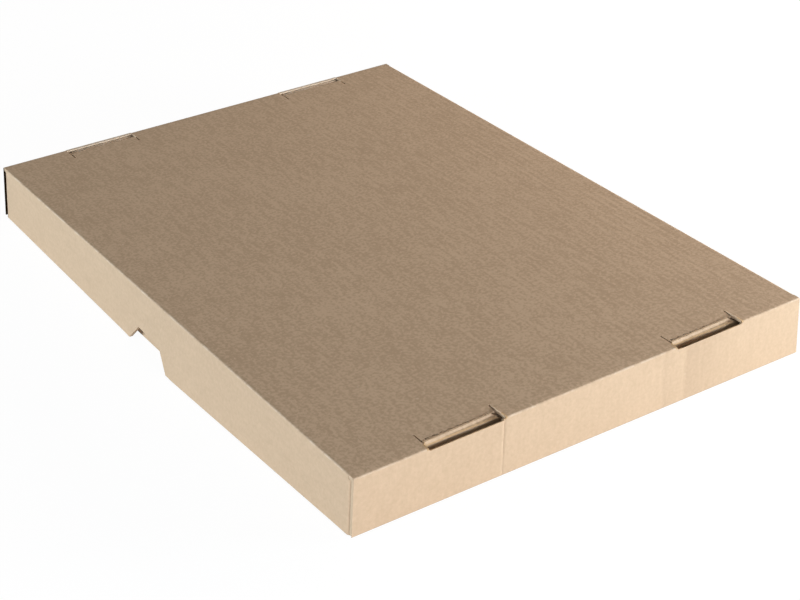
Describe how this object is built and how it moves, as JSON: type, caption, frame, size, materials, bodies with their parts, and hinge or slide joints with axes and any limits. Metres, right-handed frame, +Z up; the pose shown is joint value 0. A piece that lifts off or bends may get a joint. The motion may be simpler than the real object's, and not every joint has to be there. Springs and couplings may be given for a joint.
{
  "type": "flat shipping carton",
  "caption": "Flat corrugated carton: a full-depth lid with thumb notches and tab-locked, rolled-over end walls lifts straight off a matching base tray.",
  "frame": {"origin": "middle of the tray's underside, the face that the carton rests on", "axes": "+X across the short side, +Y along the long side, +Z up towards the lid's panel; the end wall seen in front is at -Y"},
  "size_m": [0.2376, 0.316, 0.0279],
  "materials": {
    "kraft_board": "uncoated brown kraft liner over a fine flute, matt, with fibre specks"
  },
  "bodies": {
    "base": {"base_tray": "kraft_board"},
    "cover": {"lid": "kraft_board"}
  },
  "joints": [
    {"name": "lid_lift", "type": "slide", "parent": "base", "child": "cover", "axis": [0, 0, 1], "range_m": [0, 0.045]}
  ]
}
